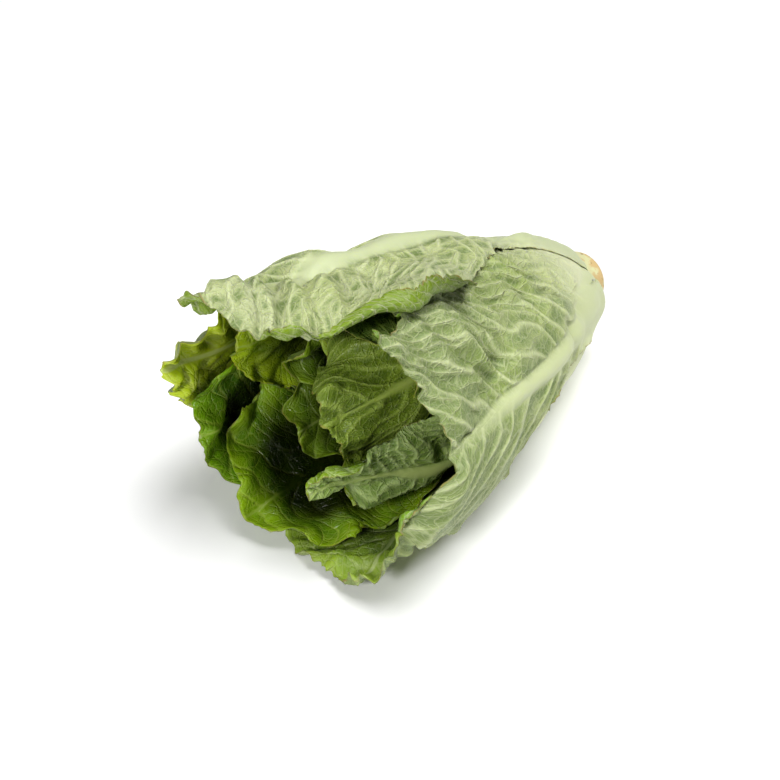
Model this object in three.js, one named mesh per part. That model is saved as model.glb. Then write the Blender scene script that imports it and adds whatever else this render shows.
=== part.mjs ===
// A head of romaine lettuce, cut at the stem and laid on its side: a short stem, and loose leaves that
// wrap it, each one solid. Units are millimetres, +Z is up, and the head points from its stem at +X to
// its open leaf tips at -X. The leaves are laid from the heart outwards, each over those within it.
import * as THREE from "three";

// Driving dimensions of the whole head.
const STEM_RADIUS = 15.5;
const STEM_LENGTH = 70;
const STEM_POINT = 4; // radius at its growing point
const STEM_PROUD = 13; // of the cut face past the lowest leaves
const STEM_KNOB = 4; // how much thicker it is where the outer leaves leave it
const MOUTH_RADIUS = 82; // where the outline would end, far past the tips
const OUTLINE_REACH = 125; // how fast the outline widens from the stem
const OUTLINE_POWER = 0.82;
const LIE_ANGLE = 11.5; // the open end is wider, so the axis rises from the stem to the tips
const STEM_HEIGHT = 38.5; // of the middle of the cut face, before the weight flattens the head
const MOUTH_SAG = 7; // of the tips, which begins and is full at these distances from the cut face
const SAG_FROM = 90;
const SAG_TO = 290;
const FLATTENED_UNDER = 16; // what lies lower than this is pressed flatter by the weight
const PRESS = 0.0085;
const FLAT_DEPTH = 1.5; // of the lowest leaf that is flat against the surface
const FLAT_BLADE = 0.8; // its thickness there

// Shape of a leaf. A share of the length runs from 0 at its root to 1 at its tip.
const BLADE = 1.0; // thickness
const ROOT_HALF = 18; // half width of a large leaf where it leaves the stem
const ROOT_SHARE = 0.36; // the same for a small leaf, as a share of its widest half width
const WIDE_FROM = 0.6; // share of the length at which it has its full width
const WIDENS = 1.35; // how early it gets wide
const ROUNDED_FROM = 0.62; // share of the length at which the tip begins to round
const LOBES = 6; // shallow ones along the margin
const LOBE_DEPTH = 0.04;
const RIB_RISE = 4.6; // of the rib over the blade at the root
const RIB_RISE_SHARE = 0.07; // the same for a small leaf, as a share of its half width
const RIB_TIP_RISE = 0.5;
const RIB_TIP_HALF = 5; // half width of the rib from the middle of the leaf on
const MARGIN_WAVES = 3.5;
const ROLL_RADIUS = 5;
const ROLL_BEGINS_OVER = 0.25; // share of the length
const ROLL_ENDS_OVER = 0.2;

// Clearance between a leaf and what it lies on.
const ROOT_GAP = 0.7; // at the stem
const BLADE_GAP = 2.3; // from the middle of the head on
const SOFT_MEETING = 2.5; // how gently a leaf is pushed off what it lies on

// The leaves, from the heart outwards. Angles are in degrees about the axis, with 0 facing -Y and 90 up.
// Where a leaf has two values, they are for the side at smaller angles and the side at larger ones.
// around: where the rib starts; drift: how far it has turned by the tip.
// root and tip: distances from the cut face. half: the widest half width.
// blunt: the share of that width left at the tip, on both sides or one for each. widens: how early the leaf gets wide.
// late: the shares of the length between which the side at smaller angles widens instead.
// recess: how far the edge of the tip stays behind its middle, as a share of the length, at the
// margins, or at five places from one margin to the other.
// level: the share of the head's outline that the leaf lies at; flare: added to it at the tip; lift:
// added at the margins; nod: taken away again at the corners of the tip.
// wave: height of the waves of the margin. spare: extra clearance over the tips that a leaf bends over. grid: rows, and half the columns.
// roll: a margin rolled outwards, on the side -1 or 1, past a share of the half width, by so many
// degrees, between two shares of the length.
const LEAVES = [
  { name: "heart_bud", around: 200, drift: 10, root: 58, tip: 150, half: 17, blunt: 0.5, recess: 0.16,
    level: 0.13, flare: 0.02, lift: 0, wave: 1, grid: [9, 4] },
  { name: "heart_leaf_1", around: 60, drift: -10, root: 54, tip: 176, half: 26, blunt: 0.5, recess: 0.16,
    level: 0.2, flare: 0.02, lift: 0.02, wave: 2, grid: [10, 4] },
  { name: "heart_leaf_2", around: 285, drift: 10, root: 50, tip: 188, half: 30, blunt: 0.5, recess: 0.16,
    level: 0.26, flare: 0.02, lift: 0.02, wave: 3, grid: [10, 4] },
  { name: "heart_leaf_3", around: 165, drift: 0, root: 46, tip: 204, half: 36, blunt: 0.5, recess: 0.16,
    level: 0.3, flare: 0.04, lift: 0.03, wave: 3, grid: [11, 4] },
  { name: "heart_leaf_4", around: 240, drift: 0, root: 42, tip: 204, half: 42, blunt: 0.5, recess: 0.16,
    level: 0.36, flare: 0.03, lift: 0.04, wave: 4, grid: [12, 5] },
  { name: "heart_leaf_5", around: 100, drift: 20, root: 39, tip: 226, half: 44, blunt: 0.6, recess: 0.12,
    level: 0.42, flare: 0.04, lift: 0.04, wave: 4, grid: [12, 5] },
  { name: "heart_leaf_6", around: 42, drift: 0, root: 36, tip: 266, half: 66, blunt: 0.75, recess: 0.06,
    level: 0.52, flare: -0.26, lift: 0.04, wave: 4, grid: [16, 6] },
  { name: "inner_leaf_1", around: 170, drift: 0, root: 33, tip: 226, half: 52, blunt: 0.5, recess: 0.16,
    level: 0.56, flare: 0.05, lift: 0.04, wave: 5, grid: [13, 5] },
  { name: "inner_leaf_2", around: 290, drift: 0, root: 30, tip: 236, half: 52, blunt: 0.5, recess: 0.16,
    level: 0.6, flare: 0.04, lift: 0.04, wave: 5, grid: [13, 5] },
  { name: "inner_leaf_3", around: 92, drift: 10, root: 27, tip: 250, half: 54, blunt: 0.6, recess: 0.1,
    level: 0.64, flare: 0.04, lift: 0.03, wave: 4, grid: [13, 5] },
  { name: "inner_leaf_4", around: 348, drift: -26, root: 25, tip: 282, half: 44, blunt: 0.6, recess: 0.1,
    level: 0.7, flare: -0.38, lift: 0.03, wave: 5, spare: 3, grid: [22, 6] },
  { name: "inner_leaf_5", around: 225, drift: 0, root: 22, tip: 224, half: 56, blunt: 0.5, recess: 0.16,
    level: 0.7, flare: 0.05, lift: 0.03, wave: 5, grid: [13, 5] },
  { name: "middle_leaf_1", around: 45, drift: 0, root: 20, tip: 236, half: 58, blunt: 0.5, recess: 0.16,
    level: 0.74, flare: 0, lift: 0.02, wave: 4, grid: [14, 5] },
  { name: "middle_leaf_2", around: 155, drift: 6, root: 17, tip: 254, half: 62, blunt: 0.6, recess: 0.14,
    level: 0.8, flare: 0.04, lift: 0.02, wave: 4, grid: [15, 5] },
  { name: "middle_leaf_3", around: 246, drift: 0, root: 15, tip: 268, half: 66, blunt: 0.7, recess: 0.12,
    level: 0.84, flare: 0.08, lift: 0.03, wave: 5, grid: [16, 6] },
  { name: "middle_leaf_4", around: 206, drift: 0, root: 13, tip: 270, half: [48, 68], blunt: 0.65, recess: 0.12,
    level: 0.88, flare: 0.1, lift: 0.03, wave: 5, grid: [16, 6] },
  { name: "outer_leaf_1", around: 303, drift: 2, root: 11, tip: 264, half: [52, 74], blunt: 1,
    recess: [0.05, 0.01, 0, 0, 0.06], level: 0.9, flare: 0.12, lift: [0.03, 0], wave: 5, grid: [16, 6] },
  { name: "outer_leaf_2", around: 172, drift: 2, root: 9, tip: 286, half: 60, blunt: 0.6, recess: 0.16,
    level: 0.93, flare: 0.1, lift: 0.02, wave: 5, grid: [16, 6] },
  { name: "outer_leaf_3", around: 342, drift: -6, root: 8, tip: 226, half: [42, 62], blunt: 0.5, recess: 0.16,
    level: 0.92, flare: 0.02, lift: 0.02, wave: 4, grid: [15, 6] },
  { name: "outer_leaf_4", around: 20, drift: -5, root: 7, tip: 254, half: [66, 73], blunt: [0.86, 0.84],
    recess: [0.04, -0.08, 0.02, 0.01, -0.06], level: 0.93, flare: 0.06, lift: [0.17, 0.02], nod: [0.22, 0],
    wave: 5, widens: 3, late: [0.5, 0.75], grid: [17, 7],
    roll: { side: -1, past: 0.7, turn: 165, from: 0.1, to: 0.6 } },
  { name: "outer_leaf_5", around: 104, drift: 26, root: 5, tip: 310, half: 87, blunt: [0.62, 0.5],
    recess: [0.03, 0, 0.03, 0.12, 0.28], level: 0.9, flare: 0.2, lift: [-0.34, 0.02], wave: 4,
    widens: 0.65, late: [0.25, 0.85], grid: [19, 8],
    roll: { side: -1, past: 0.76, turn: 150, from: 0.5, to: 1.1 } },
];

const COLOURS = { stem: 0xd9d2a0, heart: 0xa9b85a, inner: 0x7f9f3f, middle: 0x6d9138, outer: 0x9db873 };

const smooth = (from, to, x) => {
  const t = Math.min(Math.max((x - from) / (to - from), 0), 1);
  return t * t * (3 - 2 * t);
};
const mix = (a, b, t) => a + (b - a) * t;
const radians = (degrees) => (degrees * Math.PI) / 180;
const evenly = (count, from, to) => Array.from({ length: count + 1 }, (_, i) => mix(from, to, i / count));

// Radius of the head's outline, and of the stem inside it.
function outlineRadius(along) {
  const widened = 1 - Math.exp(-Math.max(along, 0) / OUTLINE_REACH);
  return STEM_RADIUS + (MOUTH_RADIUS - STEM_RADIUS) * widened ** OUTLINE_POWER;
}
function stemRadius(along) {
  const knob = STEM_KNOB * smooth(18, 8, along);
  return along < STEM_LENGTH ? mix(STEM_RADIUS, STEM_POINT, smooth(10, STEM_LENGTH, along)) + knob : 0;
}

// A point of the head laid on the surface, from its distance along the axis, radius and angle.
function laid(along, radius, angle) {
  const lie = radians(LIE_ANGLE);
  const rise = radius * Math.sin(angle) - MOUTH_SAG * smooth(SAG_FROM, SAG_TO, along);
  return new THREE.Vector3(
    rise * Math.sin(lie) - along * Math.cos(lie),
    -radius * Math.cos(angle),
    STEM_HEIGHT + along * Math.sin(lie) + rise * Math.cos(lie),
  );
}

// The other way: distance along the axis, radius and angle of a point.
function unlaid(point) {
  const lie = radians(LIE_ANGLE);
  const z = point.z - STEM_HEIGHT;
  const along = z * Math.sin(lie) - point.x * Math.cos(lie);
  const rise = z * Math.cos(lie) + point.x * Math.sin(lie) + MOUTH_SAG * smooth(SAG_FROM, SAG_TO, along);
  return [along, Math.hypot(point.y, rise), Math.atan2(rise, -point.y)];
}

// The weight of the head flattens what lies low.
function pressed(point) {
  const under = Math.max(FLATTENED_UNDER - point.z, 0);
  return point.clone().setZ(point.z + PRESS * under * under);
}

// The cover is how far out the leaves laid so far reach, as a share of the outline, on a grid of
// distances along the axis and angles about it.
const ALONG_STEP = 5;
const ALONG_CELLS = 64;
const ANGLE_CELLS = 72;

function cellOf(row, column) {
  const kept = Math.min(Math.max(row, 0), ALONG_CELLS - 1);
  return kept * ANGLE_CELLS + ((column % ANGLE_CELLS) + ANGLE_CELLS) % ANGLE_CELLS;
}

// The cover is widened and then blurred by the same reach, so that it never falls below the leaves
// that it covers. The reach is shorter near the stem, where everything is narrow.
const COVER_REACH = 3;
const ROOT_REACH = 2;
const ROOT_ROWS = 18;

function filtered(grid, combine) {
  return grid.map((_, cell) => {
    const row = Math.floor(cell / ANGLE_CELLS);
    const column = cell % ANGLE_CELLS;
    const reach = row < ROOT_ROWS ? ROOT_REACH : COVER_REACH;
    const near = [];
    for (let i = -reach; i <= reach; i += 1)
      for (let j = -reach; j <= reach; j += 1) near.push(grid[cellOf(row + i, column + j)]);
    return combine(near);
  });
}
const largest = (values) => Math.max(...values);
const average = (values) => values.reduce((sum, value) => sum + value, 0) / values.length;
const softened = (cover) => filtered(filtered(cover, largest), average);

function coverAt(cover, along, angle) {
  const row = along / ALONG_STEP;
  const column = (angle / (2 * Math.PI)) * ANGLE_CELLS;
  const [i, j] = [Math.floor(row), Math.floor(column)];
  const [p, q] = [row - i, column - j];
  const low = mix(cover[cellOf(i, j)], cover[cellOf(i, j + 1)], q);
  const high = mix(cover[cellOf(i + 1, j)], cover[cellOf(i + 1, j + 1)], q);
  return mix(low, high, p);
}

// A value that may differ on the two sides of the rib. v runs from -1 to 1 across a leaf.
const sided = (value, v) => (Array.isArray(value) ? value[v < 0 ? 0 : 1] : value);

// How far the tip's edge stays behind the tip at v, as a share of the length.
function recessed(leaf, v) {
  if (!Array.isArray(leaf.recess)) return leaf.recess * v * v;
  const place = (Math.min(Math.max(v, -1), 0.999) + 1) * 2;
  const start = Math.floor(place);
  return mix(leaf.recess[start], leaf.recess[start + 1], smooth(start, start + 1, place));
}

// A leaf's half width at u, from 0 at the root to 1 at the tip.
function halfWidth(leaf, u, v) {
  const half = sided(leaf.half, v);
  const early = 1 - Math.max(1 - u / WIDE_FROM, 0) ** (leaf.widens ?? WIDENS);
  const widening = leaf.late && v < 0 ? smooth(...leaf.late, u) : early;
  const widened = mix(Math.min(ROOT_HALF, half * ROOT_SHARE), half, widening);
  const rounding = mix(1, sided(leaf.blunt, v), smooth(ROUNDED_FROM, 1, u) ** 1.5);
  const lobes = 1 + LOBE_DEPTH * smooth(0.3, 0.6, u) * Math.sin(2 * Math.PI * LOBES * u + leaf.around);
  return widened * rounding * lobes;
}

// Thickness of a leaf: a thin blade with a rib that is broad and thick at the root.
function thickness(leaf, u, across) {
  const half = sided(leaf.half, 1);
  const ribRoot = Math.min(ROOT_HALF, half * ROOT_SHARE);
  const ribHalf = mix(ribRoot, RIB_TIP_HALF, smooth(0, 0.5, u)) * mix(1, 0.4, smooth(0.5, 1, u));
  const ribRise = Math.min(RIB_RISE, half * RIB_RISE_SHARE) * (1 - u) ** 1.3 + RIB_TIP_RISE;
  return BLADE + ribRise * Math.max(1 - (across / ribHalf) ** 2, 0) ** 1.3;
}

// How far the margin is turned outwards at u, where a leaf has a rolled one.
function turnAt(leaf, u, v) {
  const { roll } = leaf;
  if (!roll || roll.side * v <= 0) return 0;
  const begun = smooth(roll.from, roll.from + ROLL_BEGINS_OVER, u);
  return radians(roll.turn) * begun * smooth(roll.to, roll.to - ROLL_ENDS_OVER, u);
}

// A strip past a fold turns outwards round a small radius by at most `turn`, and then runs straight.
// Returns where it ends up along the leaf's plane, and how far it stands off it.
function rolledPast(distance, fold, turn) {
  const past = distance - fold;
  if (past <= 0 || turn <= 0) return [distance, 0];
  const angle = Math.min(past / ROLL_RADIUS, turn);
  const straight = past - angle * ROLL_RADIUS;
  return [
    fold + ROLL_RADIUS * Math.sin(angle) + straight * Math.cos(angle),
    ROLL_RADIUS * (1 - Math.cos(angle)) + straight * Math.sin(angle),
  ];
}

// Height of the waves of the margins and of the tip.
function waveAt(leaf, u, v) {
  const shift = leaf.around + (v > 0 ? 0.6 * Math.PI : 0);
  const margins = Math.abs(v) ** 2.5 * Math.sin(2 * Math.PI * MARGIN_WAVES * u + shift);
  const tip = 0.8 * smooth(0.75, 1, u) * Math.sin(7 * v + leaf.around);
  return leaf.wave * (margins + tip) * smooth(0.15, 0.5, u);
}

// The share of the outline that a leaf would lie at with nothing inside it. It leaves the stem at the
// stem's own radius, and is at its level 50 mm on.
function ownLevel(leaf, u, v, past) {
  const atStem = stemRadius(leaf.root) / outlineRadius(leaf.root);
  const level = mix(atStem, leaf.level, smooth(0, 50, past));
  const flare = leaf.flare * smooth(0.55, 1, u) ** 1.5;
  const lift = sided(leaf.lift, v) * v * v * smooth(0.3, 0.8, u);
  const nod = sided(leaf.nod ?? 0, v) * v * v * smooth(0.75, 1, u);
  return level + flare + lift - nod;
}

// The inner face of a leaf at u along it and v across it, laid over the cover.
function innerPoint(leaf, cover, u, v) {
  const half = halfWidth(leaf, u, v);
  const fold = half * (leaf.roll ? leaf.roll.past : 1);
  const [across, offMargin] = rolledPast(Math.abs(v) * half, fold, turnAt(leaf, u, v));
  const past = (leaf.tip - leaf.root) * (u - recessed(leaf, v) * smooth(0.5, 1, u) ** 2);
  const along = leaf.root + past;
  const outline = outlineRadius(along);
  const rib = radians(leaf.around + leaf.drift * Math.max(u, 0) ** 1.5);
  const angle = rib + (Math.sign(v) * across) / Math.max(outline * leaf.level, 16);
  const wanted = ownLevel(leaf, u, v, past) + waveAt(leaf, u, v) / outline;
  const spare = (leaf.spare ?? 0) * smooth(100, 160, along);
  const gap = (mix(ROOT_GAP, BLADE_GAP, smooth(30, 130, along)) + spare) / outline;
  const least = Math.max(coverAt(cover, along, angle) + gap, (stemRadius(along) + ROOT_GAP) / outline);
  const soft = (SOFT_MEETING / outline) * smooth(leaf.root, leaf.root + 40, along) + 1e-4;
  const share = (wanted + least + Math.hypot(wanted - least, soft)) / 2;
  return laid(along, share * outline + offMargin, angle);
}

// Both faces of a leaf on a grid of u and v, as rows of [inner, outer] points.
function facesOf(leaf, cover, us, vs) {
  const step = 1e-3;
  return us.map((u) => vs.map((v) => {
    const inner = innerPoint(leaf, cover, u, v);
    const alongLeaf = innerPoint(leaf, cover, u + step, v).sub(innerPoint(leaf, cover, u - step, v));
    const acrossLeaf = innerPoint(leaf, cover, u, v + step).sub(innerPoint(leaf, cover, u, v - step));
    const outwards = acrossLeaf.cross(alongLeaf).normalize();
    const thick = thickness(leaf, u, v * halfWidth(leaf, u, v));
    return [inner, inner.clone().addScaledVector(outwards, thick)];
  }));
}

// Adds a laid leaf to the cover, by its two faces sampled finer than the grid's cells.
function covered(cover, softCover, leaf) {
  const made = [...cover];
  const points = facesOf(leaf, softCover, evenly(60, 0, 1), evenly(40, -1, 1)).flat(2);
  for (const point of points) {
    const [along, radius, angle] = unlaid(point);
    const column = (angle / (2 * Math.PI)) * ANGLE_CELLS;
    const cell = cellOf(Math.round(along / ALONG_STEP), Math.round(column));
    made[cell] = Math.max(made[cell], radius / outlineRadius(along));
  }
  return made;
}

// A closed solid from the two faces: both are split alike, and their rims are joined.
function solidOf(rows) {
  const [height, width] = [rows.length, rows[0].length];
  const position = rows.flat(2).flatMap((point) => point.toArray());
  const inner = (i, j) => (i * width + j) * 2;
  const outer = (i, j) => inner(i, j) + 1;
  const index = [];
  const quad = (a, b, c, d) => index.push(a, b, c, a, c, d);
  for (let i = 0; i + 1 < height; i += 1)
    for (let j = 0; j + 1 < width; j += 1) {
      quad(outer(i, j), outer(i, j + 1), outer(i + 1, j + 1), outer(i + 1, j));
      index.push(inner(i, j), inner(i + 1, j + 1), inner(i, j + 1));
      index.push(inner(i, j), inner(i + 1, j), inner(i + 1, j + 1));
    }
  const [lastRow, lastColumn] = [height - 1, width - 1];
  for (let j = 0; j < lastColumn; j += 1) {
    quad(inner(0, j), inner(0, j + 1), outer(0, j + 1), outer(0, j));
    quad(inner(lastRow, j + 1), inner(lastRow, j), outer(lastRow, j), outer(lastRow, j + 1));
  }
  for (let i = 0; i < lastRow; i += 1) {
    quad(inner(i + 1, 0), inner(i, 0), outer(i, 0), outer(i + 1, 0));
    quad(inner(i, lastColumn), inner(i + 1, lastColumn), outer(i + 1, lastColumn), outer(i, lastColumn));
  }
  const geometry = new THREE.BufferGeometry();
  geometry.setAttribute("position", new THREE.Float32BufferAttribute(position, 3));
  geometry.setIndex(index);
  return geometry;
}

const head = new THREE.Group();

function addPiece(name, geometry) {
  const color = COLOURS[name.split("_")[0]];
  const material = new THREE.MeshStandardMaterial({ color, roughness: 0.55, metalness: 0 });
  const mesh = new THREE.Mesh(geometry, material);
  mesh.name = name;
  head.add(mesh);
}

// The stem: its cut face stands a little past the leaves, and its growing point is deep in the heart.
const profile = evenly(14, -STEM_PROUD, STEM_LENGTH - 1).map((y) => new THREE.Vector2(stemRadius(y), y));
profile.unshift(new THREE.Vector2(0, -STEM_PROUD));
profile.push(new THREE.Vector2(0, STEM_LENGTH + 3));
const stem = new THREE.LatheGeometry(profile, 24);
stem.rotateZ(Math.PI / 2).rotateY(radians(LIE_ANGLE)).translate(0, 0, STEM_HEIGHT);
addPiece("stem", stem);

// Rows are closer together near the root, and columns near the rib, where the shape changes most.
let cover = new Array(ALONG_CELLS * ANGLE_CELLS).fill(0);
const laidLeaves = LEAVES.map((leaf) => {
  const [rows, halfColumns] = leaf.grid;
  const softCover = softened(cover);
  const us = evenly(rows, 0, 1).map((t) => t ** 1.25);
  const vs = evenly(2 * halfColumns, -1, 1).map((t) => Math.sign(t) * Math.abs(t) ** 1.35);
  const faces = facesOf(leaf, softCover, us, vs);
  cover = covered(cover, softCover, leaf);
  return faces.map((row) => row.map((pair) => pair.map(pressed)));
});

// The lowest leaf is flat against the surface.
const pairs = laidLeaves.flat(2);
const surface = Math.min(...pairs.map(([, outer]) => outer.z)) + FLAT_DEPTH;
for (const [inner, outer] of pairs) {
  outer.setZ(Math.max(outer.z, surface));
  inner.setZ(Math.max(inner.z, surface + FLAT_BLADE));
}
laidLeaves.forEach((rows, k) => addPiece(LEAVES[k].name, solidOf(rows)));

// The origin is on the surface that the head lies on, under the middle of its box.
const middle = new THREE.Box3().setFromObject(head).getCenter(new THREE.Vector3());
head.position.set(-middle.x, -middle.y, -surface);

export default head;
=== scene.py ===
# A head of romaine lettuce, cut at the stem and laid on its side, built as it grows: the stem, then every
# leaf from the heart outwards, each laid over those within it. Lengths are in millimetres and angles in
# degrees until a mesh is made, which is in metres, where the frame puts it.
import math

import bpy
import numpy as np
from mathutils import Matrix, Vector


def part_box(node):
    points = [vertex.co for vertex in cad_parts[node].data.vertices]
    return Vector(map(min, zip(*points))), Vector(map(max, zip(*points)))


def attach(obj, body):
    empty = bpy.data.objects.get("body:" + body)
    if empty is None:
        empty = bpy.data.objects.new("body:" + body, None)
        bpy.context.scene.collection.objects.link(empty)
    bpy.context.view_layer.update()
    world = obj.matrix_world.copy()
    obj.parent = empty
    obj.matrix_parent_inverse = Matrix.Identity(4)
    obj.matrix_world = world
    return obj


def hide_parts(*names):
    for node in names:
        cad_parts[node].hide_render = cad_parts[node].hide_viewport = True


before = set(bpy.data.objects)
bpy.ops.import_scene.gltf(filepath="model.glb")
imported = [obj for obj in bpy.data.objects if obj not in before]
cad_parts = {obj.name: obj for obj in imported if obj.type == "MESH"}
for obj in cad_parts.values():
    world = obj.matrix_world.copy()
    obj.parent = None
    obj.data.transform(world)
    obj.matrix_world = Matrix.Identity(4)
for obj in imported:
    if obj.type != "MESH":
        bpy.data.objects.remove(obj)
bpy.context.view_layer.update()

# The stem is the short, firm, pale core that every leaf grows from. It was cut across with a knife, and
# its cut face has dried to tan. The head's outline widens from it, and it lies lower than the tips.
METRES = 0.001
STEM_RADIUS = 15.5
STEM_LENGTH = 70
STEM_POINT = 4
STEM_PROUD = 13
STEM_KNOB = 4
STEM_ROUNDING = 1.6
MOUTH_RADIUS = 82
OUTLINE_REACH = 125
OUTLINE_POWER = 0.82
LIE_ANGLE = math.radians(11.5)
STEM_HEIGHT = 38.5
MOUTH_SAG, SAG_FROM, SAG_TO = 7, 90, 290
STEM_SIDES, STEM_RINGS = 120, 90
CUT_FACE_SHARE = 0.4  # of the rings
FLESH, GREEN_FLESH = (0.68, 0.66, 0.38, 1), (0.6, 0.62, 0.27, 1)
SCAR_TAN = (0.6, 0.4, 0.16, 1)
CUT_TAN, CUT_PALE = (0.55, 0.36, 0.13, 1), (0.66, 0.5, 0.22, 1)
CUT_BROWN = (0.2, 0.09, 0.025, 1)


def smooth(start, end, x):
    """0 before start and 1 after end, with a soft step between."""
    t = np.clip((x - start) / (end - start), 0, 1)
    return t * t * (3 - 2 * t)


def mix(a, b, t):
    return a + (b - a) * t


def ripples(x, y, spacing, seed):
    """Smooth hills and hollows about `spacing` apart, mostly between -1 and 1."""
    draw = np.random.default_rng(seed)
    total = 0
    for _ in range(9):
        turn, pace = draw.uniform(0, 2 * np.pi), draw.uniform(0.7, 1.4) * 2 * np.pi / spacing
        total = total + np.sin(pace * (x * np.cos(turn) + y * np.sin(turn)) + draw.uniform(0, 2 * np.pi))
    return total / 4


def outline_radius(along):
    widened = 1 - np.exp(-np.maximum(along, 0) / OUTLINE_REACH)
    return STEM_RADIUS + (MOUTH_RADIUS - STEM_RADIUS) * widened ** OUTLINE_POWER


def stem_radius(along):
    knob = STEM_KNOB * smooth(18, 8, along)
    narrowed = mix(STEM_RADIUS, STEM_POINT, smooth(10, STEM_LENGTH, along))
    return np.where(along < STEM_LENGTH, narrowed + knob, 0)


def laid(along, radius, angle):
    """A point of the lying head, from its distance along the axis, radius and angle about it."""
    rise = radius * np.sin(angle) - MOUTH_SAG * smooth(SAG_FROM, SAG_TO, along)
    return np.stack([
        rise * math.sin(LIE_ANGLE) - along * math.cos(LIE_ANGLE),
        -radius * np.cos(angle),
        STEM_HEIGHT + along * math.sin(LIE_ANGLE) + rise * math.cos(LIE_ANGLE),
    ], axis=-1)


def coordinates(mesh):
    flat = np.empty(3 * len(mesh.vertices))
    mesh.vertices.foreach_get("co", flat)
    return flat.reshape(-1, 3)


def shape(piece, points):
    piece.data.vertices.foreach_set("co", np.asarray(points, dtype=np.float32).ravel())
    piece.data.update()
    piece.data.shade_smooth()


def mark(piece, name, values):
    """Writes one number for each vertex, which the finish reads."""
    piece.data.attributes.new(name, "FLOAT", "POINT").data.foreach_set("value", np.float32(values))


class Finish:
    """A procedural material, and short names for the nodes that it is made with."""

    def __init__(self, name):
        self.material = bpy.data.materials.new(name)
        self.material.use_nodes = True
        self.nodes = self.material.node_tree.nodes
        self.links = self.material.node_tree.links
        self.surface = self.nodes["Principled BSDF"]

    def put(self, socket, value):
        if isinstance(value, bpy.types.NodeSocket):
            self.links.new(value, socket)
        else:
            socket.default_value = value

    def calc(self, kind, *values):
        node = self.nodes.new("ShaderNodeMath")
        node.operation = kind
        for socket, value in zip(node.inputs, values):
            self.put(socket, value)
        return node.outputs[0]

    def add(self, first, *others):
        for other in others:
            first = self.calc("ADD", first, other)
        return first

    def times(self, first, *others):
        for other in others:
            first = self.calc("MULTIPLY", first, other)
        return first

    def step(self, start, end, value, low=0.0, high=1.0):
        node = self.nodes.new("ShaderNodeMapRange")
        node.interpolation_type = "SMOOTHSTEP"
        for socket, number in zip(node.inputs, (value, start, end, low, high)):
            self.put(socket, number)
        return node.outputs[0]

    def blend(self, share, low, high):
        node = self.nodes.new("ShaderNodeMix")
        node.data_type = "RGBA"
        self.put(node.inputs[0], share)
        self.put(node.inputs[6], low)
        self.put(node.inputs[7], high)
        return node.outputs[2]

    def marked(self, name):
        node = self.nodes.new("ShaderNodeAttribute")
        node.attribute_name = name
        return node.outputs["Fac"]

    def place(self, *marks):
        """A place from marked numbers, or on the object itself, in millimetres."""
        if not marks:
            node = self.nodes.new("ShaderNodeVectorMath")
            node.operation = "SCALE"
            self.put(node.inputs[0], self.nodes.new("ShaderNodeTexCoord").outputs["Object"])
            node.inputs["Scale"].default_value = 1 / METRES
            return node.outputs[0]
        node = self.nodes.new("ShaderNodeCombineXYZ")
        for socket, value in zip(node.inputs, marks):
            self.put(socket, value)
        return node.outputs[0]

    def cloud(self, place, spacing, detail=3.0, roughness=0.55):
        node = self.nodes.new("ShaderNodeTexNoise")
        self.put(node.inputs["Vector"], place)
        node.inputs["Scale"].default_value = 1 / spacing
        node.inputs["Detail"].default_value = detail
        node.inputs["Roughness"].default_value = roughness
        return node.outputs["Fac"]

    def net(self, place, spacing):
        """Distance to the nearest line of a net, as a share of its spacing."""
        node = self.nodes.new("ShaderNodeTexVoronoi")
        node.feature = "DISTANCE_TO_EDGE"
        self.put(node.inputs["Vector"], place)
        node.inputs["Scale"].default_value = 1 / spacing
        return node.outputs["Distance"]

    def raised(self, height, strength):
        """Relief from a height in millimetres."""
        node = self.nodes.new("ShaderNodeBump")
        node.inputs["Distance"].default_value = METRES
        node.inputs["Strength"].default_value = strength
        self.put(node.inputs["Height"], height)
        self.put(self.surface.inputs["Normal"], node.outputs["Normal"])


def stem_profile(share):
    """Distance along the axis and radius, from the middle of the cut face round to the growing point."""
    face = np.clip(share / CUT_FACE_SHARE, 0, 1)
    side = np.clip((share - CUT_FACE_SHARE) / (1 - CUT_FACE_SHARE), 0, 1)
    along = mix(-STEM_PROUD, STEM_LENGTH + 3, side)
    closing = np.sqrt(np.clip(1 - (np.maximum(along - STEM_LENGTH + 4, 0) / 7) ** 2, 0, 1))
    cut_radius = STEM_RADIUS + STEM_KNOB
    side_radius = stem_radius(np.minimum(along, STEM_LENGTH - 1)) * closing
    radius = np.where(face < 1, cut_radius * face, side_radius)
    rounding = smooth(cut_radius - STEM_ROUNDING, cut_radius, radius) * (along < 0)
    return along + 0.8 * STEM_ROUNDING * rounding * (face < 1), radius - 0.4 * rounding * (face < 1)


bpy.ops.object.select_all(action="DESELECT")
bpy.ops.mesh.primitive_uv_sphere_add(segments=STEM_SIDES, ring_count=STEM_RINGS, radius=1)
stem = bpy.context.object
stem.name = "stem_core"
ball = coordinates(stem.data)
around_stem = np.arctan2(ball[:, 1], ball[:, 0])
from_cut = np.arccos(np.clip(ball[:, 2], -1, 1)) / np.pi
along_stem, radius_stem = stem_profile(from_cut)
scars = 0.5 * ripples(along_stem * 3, around_stem * 12, 22, 5) * smooth(-4, 4, along_stem)
pits = 0.25 * ripples(radius_stem * np.cos(around_stem), radius_stem * np.sin(around_stem), 5, 6)
pitted = along_stem + pits * (from_cut < CUT_FACE_SHARE)
stem_points = laid(pitted, np.maximum(radius_stem - np.abs(scars), 0), around_stem)
true_points = laid(*stem_profile(from_cut), around_stem)
to_frame = np.array(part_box("stem")[0]) / METRES - true_points.min(0)
shape(stem, (stem_points + to_frame) * METRES)
mark(stem, "from_middle", radius_stem / (STEM_RADIUS + STEM_KNOB))
mark(stem, "past_cut", along_stem + STEM_PROUD)

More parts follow.
